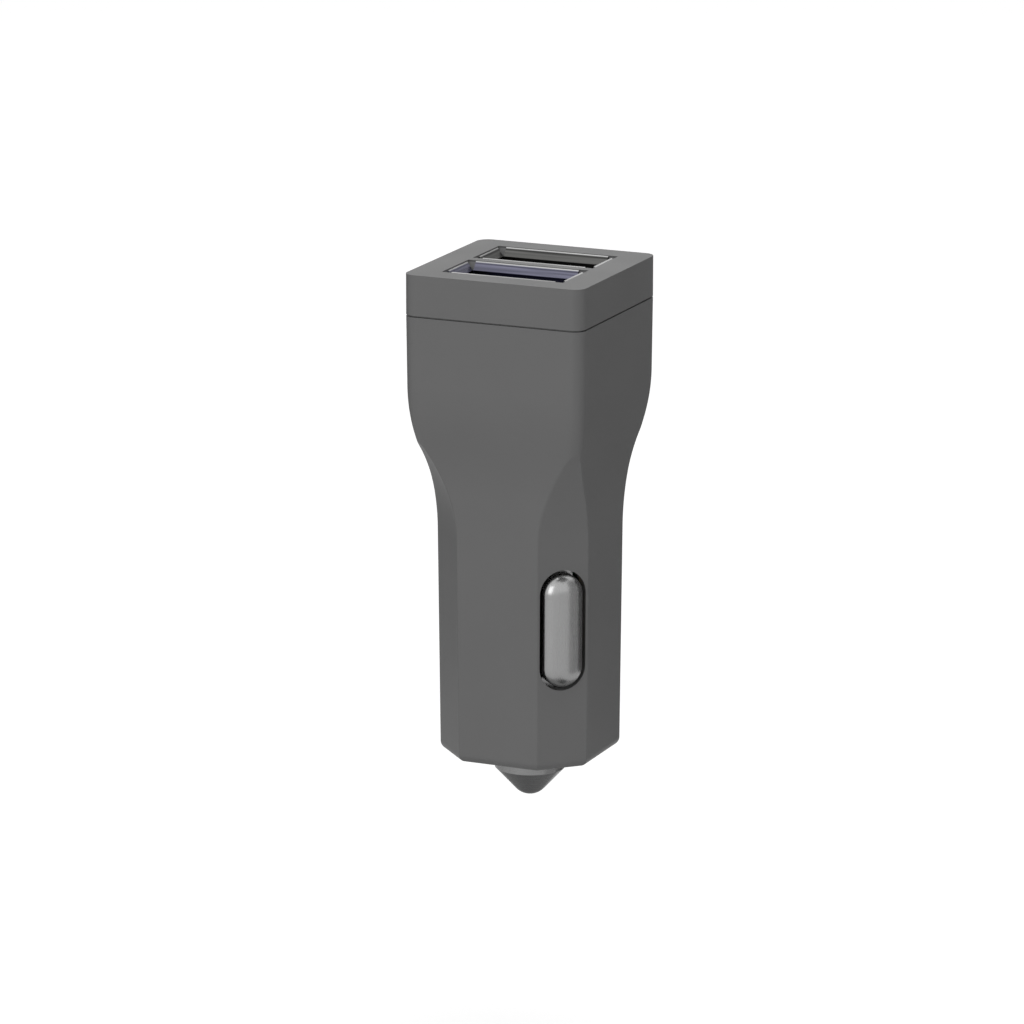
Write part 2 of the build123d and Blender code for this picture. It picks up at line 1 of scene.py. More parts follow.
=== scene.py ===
# %% [markdown]
# # A twin-port car charger plug
#
# The frame brings the plug's rigid pieces at their real size, in metres: the moulded housing,
# its cap, the sprung contacts, the two ports and the circuit inside. This script gives every
# one of them its finish. It makes the springs, the winding, the sleeves and the solder, which
# are easier to draw as surfaces, and it sets up the small photo studio round the plug.

import json
import math

import bpy
import numpy as np
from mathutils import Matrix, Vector


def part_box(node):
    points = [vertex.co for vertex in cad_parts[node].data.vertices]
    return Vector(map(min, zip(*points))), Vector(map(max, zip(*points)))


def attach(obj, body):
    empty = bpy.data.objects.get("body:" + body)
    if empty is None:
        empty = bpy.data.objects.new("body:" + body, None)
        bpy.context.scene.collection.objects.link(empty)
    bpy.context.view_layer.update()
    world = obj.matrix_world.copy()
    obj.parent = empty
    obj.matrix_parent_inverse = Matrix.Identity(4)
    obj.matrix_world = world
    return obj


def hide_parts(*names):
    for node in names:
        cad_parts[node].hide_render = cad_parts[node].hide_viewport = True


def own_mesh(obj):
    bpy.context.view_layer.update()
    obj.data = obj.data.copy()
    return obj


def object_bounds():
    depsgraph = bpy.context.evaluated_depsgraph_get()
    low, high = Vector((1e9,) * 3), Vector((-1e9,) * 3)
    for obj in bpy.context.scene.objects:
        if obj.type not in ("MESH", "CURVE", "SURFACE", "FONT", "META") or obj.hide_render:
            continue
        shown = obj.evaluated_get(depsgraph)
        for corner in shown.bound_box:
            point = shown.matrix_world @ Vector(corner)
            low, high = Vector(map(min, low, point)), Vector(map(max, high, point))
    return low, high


MM = 0.001
x_axis, y_axis, z_axis = np.eye(3)

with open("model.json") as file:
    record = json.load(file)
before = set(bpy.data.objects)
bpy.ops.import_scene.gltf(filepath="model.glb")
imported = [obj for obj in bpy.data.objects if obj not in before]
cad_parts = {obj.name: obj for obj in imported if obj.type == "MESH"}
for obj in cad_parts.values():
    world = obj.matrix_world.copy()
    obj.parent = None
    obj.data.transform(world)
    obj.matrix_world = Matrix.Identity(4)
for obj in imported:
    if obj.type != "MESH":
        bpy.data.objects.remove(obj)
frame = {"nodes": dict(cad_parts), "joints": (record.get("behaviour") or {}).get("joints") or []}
cad_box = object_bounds()
print("pieces from the frame:", len(frame["nodes"]))

# %% [markdown]
# ## Camera
#
# The picture was taken with a long lens from the front right, a little above the plug. A long
# lens keeps the upright edges almost parallel. The angles, the distance and the point that the
# lens is aimed at follow from the corners of the square head and the barrel's end. That point
# lies a little beside the plug's axis, so the lens itself needs no shift.

# %% Place the camera
azimuth = math.radians(23.83)
elevation = math.radians(14.29)
camera_distance = 638.3 * MM
aim_height = 28.75 * MM
aim_left = 2.05 * MM
aim_down = 1.29 * MM

towards_camera = Vector((
    math.sin(azimuth) * math.cos(elevation),
    -math.cos(azimuth) * math.cos(elevation),
    math.sin(elevation),
))
picture_right = Vector((math.cos(azimuth), math.sin(azimuth), 0))
picture_up = towards_camera.cross(picture_right)
aim = Vector((0, 0, aim_height)) - aim_left * picture_right - aim_down * picture_up

camera_data = bpy.data.cameras.new("camera")
camera_data.lens = 200.6
camera_data.sensor_width = 36.0
camera_data.clip_start = 0.01
camera_data.clip_end = 20.0
camera = bpy.data.objects.new("camera", camera_data)
camera.location = aim + camera_distance * towards_camera
camera.rotation_euler = (-towards_camera).to_track_quat("-Z", "Y").to_euler()
bpy.context.scene.collection.objects.link(camera)
bpy.context.scene.camera = camera
print("camera at", [round(value, 3) for value in camera.location])

# %% [markdown]
# ## Finishes
#
# Each finish is a small node tree on the Principled shader. Greys are written as they are read
# off a screen, from 0 to 255, and one helper turns them into the linear values that the shader
# wants.

# %% Greys and plain finishes
def grey(level):
    """Linear colour of a screen grey: the sRGB curve, undone."""
    share = level / 255
    linear = share / 12.92 if share <= 0.04045 else ((share + 0.055) / 1.055) ** 2.4
    return (linear, linear, linear, 1.0)


def new_finish(name, colour, roughness, metallic=0.0):
    """A material with a Principled shader of one colour, roughness and metal share."""
    material = bpy.data.materials.new(name)
    material.use_nodes = True
    shader = material.node_tree.nodes["Principled BSDF"]
    shader.inputs["Base Color"].default_value = colour
    shader.inputs["Roughness"].default_value = roughness
    shader.inputs["Metallic"].default_value = metallic
    return material

# %% [markdown]
# No real surface has one even colour and gloss, so each finish gets a pattern. An image could
# hold it, but a noise needs no file and no unwrapping. The noise reads Object coordinates, so it
# is fixed to the piece and has a real size: 4000 cells a metre are grains of a quarter of a
# millimetre. Its value then moves the gloss, the colour or the height of the surface.

# %% Patterns
def add_noise(material, cells, detail=2.0, stretch=(1, 1, 1)):
    """A noise of that many cells a metre on the piece's own coordinates. Returns its value socket."""
    nodes, links = material.node_tree.nodes, material.node_tree.links
    place = nodes.new("ShaderNodeTexCoord")
    mapping = nodes.new("ShaderNodeMapping")
    mapping.inputs["Scale"].default_value = stretch
    noise = nodes.new("ShaderNodeTexNoise")
    noise.inputs["Scale"].default_value = cells
    noise.inputs["Detail"].default_value = detail
    links.new(place.outputs["Object"], mapping.inputs["Vector"])
    links.new(mapping.outputs["Vector"], noise.inputs["Vector"])
    return noise.outputs["Fac"]


def add_bump(material, height, depth):
    """Raises the surface by depth metres where the height socket is 1."""
    nodes, links = material.node_tree.nodes, material.node_tree.links
    bump = nodes.new("ShaderNodeBump")
    bump.inputs["Distance"].default_value = depth
    links.new(height, bump.inputs["Height"])
    links.new(bump.outputs["Normal"], nodes["Principled BSDF"].inputs["Normal"])


def vary(material, socket_name, source, low, high):
    """Lets a socket run from low to high as the source goes from 0.3 to 0.7."""
    nodes, links = material.node_tree.nodes, material.node_tree.links
    spread = nodes.new("ShaderNodeMapRange")
    spread.inputs["From Min"].default_value = 0.3
    spread.inputs["From Max"].default_value = 0.7
    spread.inputs["To Min"].default_value = low
    spread.inputs["To Max"].default_value = high
    links.new(source, spread.inputs["Value"])
    links.new(spread.outputs["Result"], nodes["Principled BSDF"].inputs[socket_name])


def vary_colour(material, source, first, second):
    """Lets the base colour run from the first to the second as the source goes from 0.35 to 0.65."""
    nodes, links = material.node_tree.nodes, material.node_tree.links
    ramp = nodes.new("ShaderNodeValToRGB")
    ramp.color_ramp.elements[0].position = 0.35
    ramp.color_ramp.elements[0].color = first
    ramp.color_ramp.elements[1].position = 0.65
    ramp.color_ramp.elements[1].color = second
    links.new(source, ramp.inputs["Fac"])
    links.new(ramp.outputs["Color"], nodes["Principled BSDF"].inputs["Base Color"])

# %% [markdown]
# The frame's pieces keep their shape and only get another material in their slot.

# %% Painting the frame's pieces
def nodes_named(prefix):
    """The names of the frame's pieces that start with the prefix."""
    return [node for node in frame["nodes"] if node.startswith(prefix)]


def paint(material, *node_names):
    """Gives pieces of the frame this material in place of the one they came with."""
    for node_name in node_names:
        mesh = frame["nodes"][node_name].data
        mesh.materials.clear()
        mesh.materials.append(material)

# %% [markdown]
# ## Housing and cap
#
# Both mouldings are the same mid-grey plastic with the fine, even texture of a spark-eroded
# mould: grains of about 0.15 mm and a few thousandths deep, which only soften the light. So it
# is bump, and no real dents are needed. A second, slower noise moves the grey and the gloss by
# a hair, as the flow of the plastic does.

# %% Moulded plastic
plastic_grey = 98
flow_cells = 90.0
grain_cells = 6500.0


def moulded_plastic(name, level):
    """Satin plastic with a fine eroded texture. level is its screen grey."""
    plastic = new_finish(name, grey(level), roughness=0.46)
    flow = add_noise(plastic, flow_cells)
    vary(plastic, "Roughness", flow, low=0.43, high=0.5)
    vary_colour(plastic, flow, grey(level - 1), grey(level + 1))
    add_bump(plastic, add_noise(plastic, grain_cells, detail=1.0), depth=0.006 * MM)
    return plastic


paint(moulded_plastic("housing_plastic", plastic_grey), "housing")
paint(moulded_plastic("cap_plastic", plastic_grey), "face_cap")
print("painted the mouldings")

# %% [markdown]
# ## Contacts
#
# The tip and the two side buttons are nickel plated. Plating over a pressed or turned blank is
# bright but not a mirror, so the roughness is moderate. The buttons keep the lengthwise lines of
# the strip they are pressed from, and the tip keeps fine turning rings. Both are the same noise,
# drawn out along the piece or round it.

# %% Nickel, spring steel and brass
nickel = new_finish("contact_nickel", grey(169), roughness=0.26, metallic=1.0)
nickel_grain = add_noise(nickel, cells=2500.0, detail=3.0, stretch=(1, 1, 0.06))
vary(nickel, "Roughness", nickel_grain, low=0.23, high=0.3)
add_bump(nickel, nickel_grain, depth=0.001 * MM)
paint(nickel, "ground_contact_front", "ground_contact_rear")

# The tip's nickel is a darker grey than the buttons' (150 against 169). That is painted shade for the
# darker surroundings its cone mirrors.
turned_nickel = new_finish("turned_nickel", grey(150), roughness=0.26, metallic=1.0)
turned_rings = add_noise(turned_nickel, cells=400.0, detail=2.0, stretch=(0.05, 0.05, 12))
vary(turned_nickel, "Roughness", turned_rings, low=0.22, high=0.3)
add_bump(turned_nickel, turned_rings, depth=0.002 * MM)
paint(turned_nickel, "tip_contact")

spring_steel = new_finish("spring_steel", grey(178), roughness=0.25, metallic=1.0)
vary(spring_steel, "Roughness", add_noise(spring_steel, cells=700.0), low=0.2, high=0.32)

brass = new_finish("bracket_brass", (0.62, 0.42, 0.16, 1.0), roughness=0.3, metallic=1.0)
vary(brass, "Roughness", add_noise(brass, cells=500.0), low=0.25, high=0.4)
paint(brass, "ground_bracket_front", "ground_bracket_rear", "spring_seat")
print("painted the contacts")

# %% [markdown]
# ## Surfaces carried along a path
#
# The springs, the winding, the sleeves and the solder are all one idea: a small profile is
# carried along a path, and the rings it leaves are joined into a skin. A bevelled curve would
# do for a wire, but not for a strip or a sleeve, so one set of helpers makes them all. Two
# directions across the path place the profile. The first times the second points along the
# path, so that a ring that turns from the first to the second has its outside outwards.

# %% Rings
def circle_profile(radius, corners):
    """Corners of a circle: (radius cos a, radius sin a) for evenly spread angles a."""
    angles = 2 * np.pi * np.arange(corners) / corners
    return radius * np.stack([np.cos(angles), np.sin(angles)], axis=1)


def carried(path, first, second, profile, scale=1.0):
    """Rings: path + scale (x first + y second) for each profile corner (x, y).
    As many rings as the path has points, as many points in each as the profile has corners."""
    path, first, second = np.broadcast_arrays(path, first, second)
    scaled = np.reshape(scale, (-1, 1, 1)) * profile
    return path[:, None] + scaled[..., :1] * first[:, None] + scaled[..., 1:] * second[:, None]

# %% [markdown]
# Four neighbouring points of two rings make one face. The last ring joins the first, as on a
# sleeve, or a flat fan of triangles closes each end, as on a cut wire.

# %% Skins
def skin(rings, endless=False):
    """Points and faces over rings (rings x corners x 3). endless joins the last ring to the
    first; otherwise a flat fan closes each end. Returns points, four-sided faces and the fans."""
    count, around = rings.shape[:2]
    corner = np.arange(count * around).reshape(count, around)
    beside = np.roll(corner, -1, axis=1)
    ahead = np.roll(np.arange(count), -1) if endless else np.arange(1, count)
    here = np.arange(len(ahead))
    squares = np.stack([corner[here], beside[here], beside[ahead], corner[ahead]], axis=-1)
    squares = squares.reshape(-1, 4)
    points = rings.reshape(-1, 3)
    if endless:
        return points, squares, np.zeros((0, 3), int)
    start = np.full(around, len(points))
    end = start + 1
    fans = np.concatenate([
        np.stack([start, beside[0], corner[0]], axis=1),
        np.stack([end, corner[-1], beside[-1]], axis=1),
    ])
    return np.concatenate([points, rings[0].mean(0)[None], rings[-1].mean(0)[None]]), squares, fans


def add_piece(name, skins, finish, flat_ends=True):
    """One object from several skins, smooth along the skin. It rides the plug's body."""
    points, faces, smooth = [], [], []
    first = 0
    for skin_points, squares, fans in skins:
        points.append(skin_points)
        faces += (squares + first).tolist() + (fans + first).tolist()
        smooth += [True] * len(squares) + [not flat_ends] * len(fans)
        first += len(skin_points)
    mesh = bpy.data.meshes.new(name)
    mesh.from_pydata(np.concatenate(points), [], faces)
    mesh.polygons.foreach_set("use_smooth", smooth)
    mesh.materials.append(finish)
    piece = bpy.data.objects.new(name, mesh)
    bpy.context.scene.collection.objects.link(piece)
    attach(piece, "plug_body")
    print(name, len(mesh.vertices), "points")
    return piece

# %% [markdown]
# ## Tip spring
#
# The tip is pushed out by a compression spring that stands between the tip's cup and the brass
# seat on the board. Such a spring is coiled from drawn wire, and its end turns are closed, which
# means wound side by side, so that it stands straight. A screw modifier climbs evenly and can't
# do that. So the climb per turn is a function here: it is one wire at each end and wider
# between, and the height is the running sum of the climb. The real spring shortens with the tip,
# towards the end that stands on the seat; this one keeps its length.

# %% Helix and wire
steps_per_turn = 48


def helix(turn, middle, axis, first, second, radius, rise):
    """Points of a helix and their outward directions. With a = 2 pi turn, outward is
    first cos a + second sin a, and the point is middle + radius outward + rise axis."""
    angle = 2 * np.pi * turn[:, None]
    outward = np.cos(angle) * first + np.sin(angle) * second
    return middle + radius * outward + rise[:, None] * axis, outward


def wire(path, outward, thickness, corners):
    """The skin of a round wire. Its circle lies across the path: the first direction is outward,
    the second is the path's own direction times outward."""
    along = np.gradient(path, axis=0)
    along /= np.linalg.norm(along, axis=1, keepdims=True)
    return skin(carried(path, outward, np.cross(along, outward), circle_profile(thickness / 2, corners)))

# %% Spring behind the tip
spring_low, spring_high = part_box("tip_spring")
spring_wire = 0.5 * MM
spring_turns = 7.5
closed_turns = 0.9
opening_turns = 0.5
joints = {joint["name"]: joint for joint in frame["joints"]}

turn = np.linspace(0, spring_turns, int(spring_turns * steps_per_turn) + 1)
from_end = np.minimum(turn, spring_turns - turn)
opening = np.clip((from_end - closed_turns) / opening_turns, 0, 1)
opening = opening * opening * (3 - 2 * opening)
turns_open = (opening[1:] + opening[:-1]) @ np.diff(turn) / 2
spring_rise = spring_high.z - spring_low.z - spring_wire
open_climb = (spring_rise - spring_wire * (spring_turns - turns_open)) / turns_open
climb = spring_wire + (open_climb - spring_wire) * opening
climbed = np.concatenate([[0], np.cumsum((climb[1:] + climb[:-1]) / 2 * np.diff(turn))])

path, outward = helix(
    turn, 0, z_axis, x_axis, y_axis,
    radius=spring_high.x - spring_wire / 2,
    rise=spring_low.z + spring_wire / 2 + climbed,
)
tip_spring_wire = add_piece(
    "tip_spring_wire", [wire(path, outward, spring_wire, corners=14)], spring_steel,
)
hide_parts("tip_spring")
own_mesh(tip_spring_wire)
print("climb of an open turn:", round(open_climb / MM, 2), "mm")

# %% [markdown]
# ## Leaf springs
#
# Behind each side button a leaf is bowed: its middle is held by the brass bracket and its two
# ends press on the button's back. A leaf is cut from rolled strip, whose edges are round. A flat
# strip and a bend modifier would come close, but an arc through three known points meets the
# bracket and the button exactly. The button's back leans with the barrel's flat, so one end of
# the leaf stands out further than the other; the joint's axis tells how much. The real leaf
# flattens towards its middle as the button goes in; this one keeps its bow.

# %% The leaf's section and arc
leaf_thickness = 0.25 * MM
leaf_width = 2.6 * MM
leaf_steps = 60
leaf_corners = 24


def strip_profile(width, thickness, corners):
    """A strip's section: two half circles of the thickness, moved apart to the width."""
    angles = np.linspace(-np.pi / 2, np.pi / 2, corners // 2)
    half = thickness / 2 * np.stack([np.cos(angles), np.sin(angles)], axis=1)
    half[:, 0] += (width - thickness) / 2
    return np.concatenate([half, -half])


def arc_through(start, middle, end, steps):
    """Points on the circle through three points (distance, height), and their slopes. Its centre
    (a, b) solves 2 (p - start) . (a, b) = p . p - start . start for both other points p."""
    others = np.array([middle, end])
    start = np.array(start)
    centre = np.linalg.solve(2 * (others - start), (others ** 2).sum(1) - (start ** 2).sum())
    radius = np.linalg.norm(start - centre)
    low_angle, high_angle = (math.atan2(p[1] - centre[1], centre[0] - p[0]) for p in (start, end))
    angles = np.linspace(low_angle, high_angle, steps)
    return centre + radius * np.stack([-np.cos(angles), np.sin(angles)], axis=1), angles


def leaf_arc(low, high, lean):
    """The leaf's middle line as (distance from the plug's axis, height), its slopes, and how near
    it comes. The corners of its box are half a width aside, so a distance is x root 2 plus or
    minus that half. The lower end is nearer than the upper by the lean times the length."""
    nearest = min(abs(low.x), abs(high.x)) * math.sqrt(2) + leaf_width / 2
    farthest = max(abs(low.x), abs(high.x)) * math.sqrt(2) - leaf_width / 2
    half_height = (high.z - low.z) / 2
    end_slope = 2 * math.atan((farthest - nearest - leaf_thickness) / half_height)
    end_drop = leaf_thickness / 2 * math.sin(end_slope)
    upper = farthest - leaf_thickness / 2 * math.cos(end_slope)
    lower = upper - 2 * (half_height - end_drop) * lean
    middle = (nearest + leaf_thickness / 2, (low.z + high.z) / 2)
    arc, slopes = arc_through((lower, low.z + end_drop), middle, (upper, high.z - end_drop), leaf_steps)
    return arc, slopes, nearest

# %% Leaf springs behind the side buttons
def leaf_spring(side, sign):
    """A bowed strip on the diagonal (sign, -sign, 0), worked out from its CAD node's box."""
    joint = joints[side + "_contact_slide"]
    low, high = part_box("ground_spring_" + side)
    outward = math.sqrt(0.5) * sign * (x_axis - y_axis)
    sideways = math.sqrt(0.5) * -sign * (x_axis + y_axis)
    arc, slopes, nearest = leaf_arc(low, high, lean=joint["axis"][2])
    path = arc[:, :1] * outward + arc[:, 1:] * z_axis
    across = np.cos(slopes)[:, None] * outward - np.sin(slopes)[:, None] * z_axis
    rings = carried(path, sideways, across, strip_profile(leaf_width, leaf_thickness, leaf_corners))
    piece = add_piece("leaf_spring_" + side, [skin(rings)], spring_steel)
    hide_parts("ground_spring_" + side)
    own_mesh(piece)


leaf_spring("front", 1)
leaf_spring("rear", -1)

# %% [markdown]
# ## Ports
#
# The shells are folded from bright sheet steel. Their colour holds painted light: a painted
# highlight on the sheared edge of each lip, a thin white line flush with the face, and painted
# shade inside the mouth, darkest at the bend of the lip. The front port's mouth also gets a
# painted violet reflection of its insulator. The sheet shows the lines it was drawn with. Painting
# that on would need a picture and an unwrapped mesh. So the colour is a ramp over the depth below
# the face, and a noise that is drawn out sideways lays the lines over it. Further down the sheet
# has its own grey.

# %% Depth as a value
def share_along(material, axis, low, high):
    """A value that is 0 where the axis, X, Y or Z, reads low, and 1 where it reads high."""
    nodes, links = material.node_tree.nodes, material.node_tree.links
    place = nodes.new("ShaderNodeTexCoord")
    split = nodes.new("ShaderNodeSeparateXYZ")
    share = nodes.new("ShaderNodeMapRange")
    share.inputs["From Min"].default_value = low
    share.inputs["From Max"].default_value = high
    links.new(place.outputs["Object"], split.inputs["Vector"])
    links.new(split.outputs[axis], share.inputs["Value"])
    return share.outputs["Result"]

# %% Sheet steel of the ports
face_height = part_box("face_cap")[1].z
ramp_depth = 3.0 * MM
edge_depth_mm = 0.1
plain_depth_mm = 2.5
# Painted shade and highlight as a depth below the face in mm and its grey: white on the sheared edge,
# dark inside the mouth, darkest near the bend of the lip, and the shell's own grey deeper down.
mouth_shade_and_highlight = (
    (2.8, 205), (2.0, 66), (1.15, 66), (1.02, 38),
    (0.9, 112), (0.35, 120), (0.22, 78), (0.13, 120), (edge_depth_mm, 205),
)
# The front port's tint is a painted violet reflection of its insulator. The rear port's tint makes its
# painted mouth a fifth darker.
violet_reflection_tint = (1.15, 1.15, 1.55, 1)
grey_tint = (0.8, 0.8, 0.78, 1)
no_tint = (1, 1, 1, 1)


def mouth_ramp(steel, tint):
    """The colour over the depth: mouth_shade_and_highlight pairs a depth below the face in mm with
    a grey, painted shade in the mouth and a painted highlight on the sheared edge. The tint
    colours the mouth, but not the sheared edge and the shell below. Returns its socket."""
    nodes, links = steel.node_tree.nodes, steel.node_tree.links
    ramp = nodes.new("ShaderNodeValToRGB")
    links.new(share_along(steel, "Z", face_height - ramp_depth, face_height), ramp.inputs["Fac"])
    stops = ramp.color_ramp.elements
    while len(stops) < len(mouth_shade_and_highlight):
        stops.new(0.5)
    for stop, (depth, level) in zip(stops, mouth_shade_and_highlight):
        stop.position = 1 - depth * MM / ramp_depth
        hues = tint if edge_depth_mm < depth < plain_depth_mm else no_tint
        stop.color = [part * hue for part, hue in zip(grey(level), hues)]
    return ramp.outputs["Color"]


def sheet_steel(name, tint):
    """Drawn sheet: the mouth's painted light and shade, times 0.6 to 1 as its lines go from 0.35 to
    0.65.
    """
    steel = new_finish(name, grey(200), roughness=0.3, metallic=1.0)
    nodes, links = steel.node_tree.nodes, steel.node_tree.links
    lines = add_noise(steel, cells=900.0, detail=3.0, stretch=(0.1, 0.1, 4))
    worn = nodes.new("ShaderNodeMapRange")
    worn.inputs["From Min"].default_value = 0.35
    worn.inputs["From Max"].default_value = 0.65
    worn.inputs["To Min"].default_value = 0.6
    links.new(lines, worn.inputs["Value"])
    shade = nodes.new("ShaderNodeMix")
    shade.data_type = "RGBA"
    shade.blend_type = "MULTIPLY"
    shade.inputs["Factor"].default_value = 1.0
    links.new(mouth_ramp(steel, tint), shade.inputs["A"])
    links.new(worn.outputs["Result"], shade.inputs["B"])
    links.new(shade.outputs["Result"], nodes["Principled BSDF"].inputs["Base Color"])
    vary(steel, "Roughness", lines, low=0.26, high=0.36)
    return steel


paint(sheet_steel("shell_steel_front", violet_reflection_tint), "usb_shell_front")
paint(sheet_steel("shell_steel_rear", grey_tint), "usb_shell_rear")
print("painted the shells, face at", round(face_height / MM, 2), "mm")

# %% [markdown]
# The insulators are moulded, violet-blue in the front port and black in the rear one, and the
# contact strips on them have a flash of gold. They show only at a steep view into the mouth, so
# a plain fine grain is enough.

# %% Insulators and contact strips
blue_insulator = new_finish("tongue_blue", (0.045, 0.05, 0.26, 1.0), roughness=0.35)
add_bump(blue_insulator, add_noise(blue_insulator, cells=5000.0), depth=0.003 * MM)
paint(blue_insulator, "usb_tongue_front")

black_insulator = new_finish("tongue_black", grey(28), roughness=0.4)
add_bump(black_insulator, add_noise(black_insulator, cells=5000.0), depth=0.003 * MM)
paint(black_insulator, "usb_tongue_rear")

gold = new_finish("pin_gold", (0.78, 0.55, 0.2, 1.0), roughness=0.22, metallic=1.0)
vary(gold, "Roughness", add_noise(gold, cells=900.0), low=0.18, high=0.3)
paint(gold, *nodes_named("usb_pin"))
print("painted the insulators and", len(nodes_named("usb_pin")), "contact strips")

# %% [markdown]
# ## Circuit
#
# Hardly any of this shows while the plug is closed, but each piece has the finish that tells it
# apart on a bench: green solder mask, dark ferrite, enamelled copper, aluminium cans, black
# moulding compound and the ceramic of the fuse and the small chips.

# %% Board, inductor and cans
solder_mask = new_finish("board_green", (0.012, 0.11, 0.04, 1.0), roughness=0.3)
mask_weave = add_noise(solder_mask, cells=1500.0)
vary_colour(solder_mask, mask_weave, (0.010, 0.10, 0.035, 1.0), (0.016, 0.13, 0.05, 1.0))
add_bump(solder_mask, mask_weave, depth=0.004 * MM)
paint(solder_mask, "circuit_board")

ferrite = new_finish("ferrite", grey(62), roughness=0.55)
add_bump(ferrite, add_noise(ferrite, cells=3000.0), depth=0.01 * MM)
paint(ferrite, "inductor_core")

copper = new_finish("winding_copper", (0.60, 0.22, 0.07, 1.0), roughness=0.28, metallic=1.0)
vary(copper, "Roughness", add_noise(copper, cells=1500.0), low=0.22, high=0.36)

can_metal = new_finish("can_aluminium", grey(205), roughness=0.3, metallic=1.0)
vary(can_metal, "Roughness", add_noise(can_metal, cells=900.0), low=0.25, high=0.38)
paint(can_metal, "input_capacitor", "output_capacitor")
print("painted the board, the core and the cans")

# %% Chips
chip_compound = new_finish("chip_black", grey(40), roughness=0.5)
add_bump(chip_compound, add_noise(chip_compound, cells=4000.0), depth=0.006 * MM)
paint(chip_compound, "converter_chip", "port_chip", "diode")


def chip_ceramic(name, colour, prefix):
    """Ceramic with a fine grain for every piece whose name starts with the prefix."""
    ceramic = new_finish(name, colour, roughness=0.4)
    add_bump(ceramic, add_noise(ceramic, cells=4000.0), depth=0.004 * MM)
    paint(ceramic, *nodes_named(prefix))
    print(name, "on", len(nodes_named(prefix)), "pieces")


chip_ceramic("fuse_ceramic", grey(222), "fuse")
chip_ceramic("resistor_black", grey(46), "chip_resistor")
chip_ceramic("capacitor_tan", (0.30, 0.19, 0.10, 1.0), "chip_capacitor")

# %% [markdown]
# ## Winding
#
# A power inductor is wound with enamelled wire on the waist of its ferrite drum. A ring with
# bump would look right from far off. Close by, the top layer shows as turns side by side, while
# the layers below it only fill the groove. So the top layer is one wire on a helix with a climb
# of one wire a turn, over a plain ring that stands for the rest.

# %% A section turned about an axis
def turned(middle, axis, first, second, section, corners):
    """A closed section of (radius, height) corners, turned about the axis through middle."""
    section = np.array(section)
    path = middle + section[:, 1:] * axis
    rings = carried(path, first, second, circle_profile(1.0, corners), scale=section[:, 0])
    return skin(rings, endless=True)

# %% Inductor winding
winding_low, winding_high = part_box("inductor_winding")
winding_wire = 0.35 * MM
waist_radius = 2.05 * MM
fill_inset = 0.05 * MM
winding_radius = (winding_high.z - winding_low.z) / 2 - winding_wire / 2
winding_middle = (winding_high.z + winding_low.z) / 2 * z_axis
top_turns = (winding_high.y - winding_low.y) / winding_wire - 1

turn = np.linspace(0, top_turns, int(top_turns * steps_per_turn) + 1)
path, outward = helix(
    turn, winding_middle, y_axis, z_axis, x_axis,
    radius=winding_radius,
    rise=winding_low.y + winding_wire / 2 + winding_wire * turn,
)
top_layer = wire(path, outward, winding_wire, corners=12)

fill_low = winding_low.y + fill_inset
fill_high = winding_high.y - fill_inset
fill_section = [
    (waist_radius, fill_low), (winding_radius, fill_low),
    (winding_radius, fill_high), (waist_radius, fill_high),
]
fill = turned(winding_middle, y_axis, z_axis, x_axis, fill_section, corners=64)
winding = add_piece("winding_wire", [top_layer, fill], copper)
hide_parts("inductor_winding")
print("turns in the top layer:", round(top_turns, 1))

# %% [markdown]
# ## Sleeves of the capacitors
#
# An electrolytic can wears a printed plastic sleeve that is shrunk on. It grips the can, draws
# in a little over the crimped groove and curls over both edges, and a pale stripe marks the
# negative side. A larger copy of the can would gape at its ends. So the sleeve is a closed
# section, turned round the can's axis. Its inner face lies half a millimetre inside the metal,
# so that no gap shows.

# %% The sleeve's section
sleeve_proud = 0.06 * MM
sleeve_sunk = 0.05 * MM
sleeve_curl = 0.5 * MM
edge_radius = 0.45 * MM
edge_steps = 8
groove_height = 1.6 * MM
groove_half = 0.4 * MM
groove_draw = 0.16 * MM
groove_steps = 9


def sleeve_section(can_radius, bottom, top):
    """The sleeve's wall as (radius, height): up its outside, round both edges in quarter circles
    and over the groove, which draws in by groove_draw (1 - w w)^2 for w from -1 to 1, and down."""
    side = can_radius + sleeve_proud
    rim = can_radius - sleeve_curl
    quarter = np.linspace(0, np.pi / 2, edge_steps)
    drawn_in = edge_radius * (1 - np.sin(quarter))
    risen = edge_radius * (1 - np.cos(quarter))
    low_edge = np.stack([side - drawn_in, bottom - sleeve_proud + risen], axis=1)
    high_edge = np.stack([side - risen, top + sleeve_proud - drawn_in], axis=1)
    wave = np.linspace(-1, 1, groove_steps)
    groove = np.stack([
        side - groove_draw * (1 - wave ** 2) ** 2,
        bottom + groove_height + groove_half * wave,
    ], axis=1)
    return np.concatenate([
        [(rim, bottom - sleeve_proud)], low_edge, groove, high_edge, [(rim, top + sleeve_proud)],
        [(rim, top - sleeve_sunk), (rim, bottom + sleeve_sunk)],
    ])

# %% Shrunk sleeves
can_lengths = {"input_capacitor": 11.0 * MM, "output_capacitor": 9.0 * MM}
stripe_share = 0.08
stripe_blur = 0.05 * MM


def sleeve_finish(name, stripe_start, stripe_end):
    """Dark glossy film, pale where Y is past the stripe's start. It changes from start to end."""
    film = new_finish(name, grey(40), roughness=0.25)
    vary_colour(film, share_along(film, "Y", stripe_start, stripe_end), grey(46), grey(190))
    vary(film, "Roughness", add_noise(film, cells=800.0), low=0.2, high=0.32)
    return film


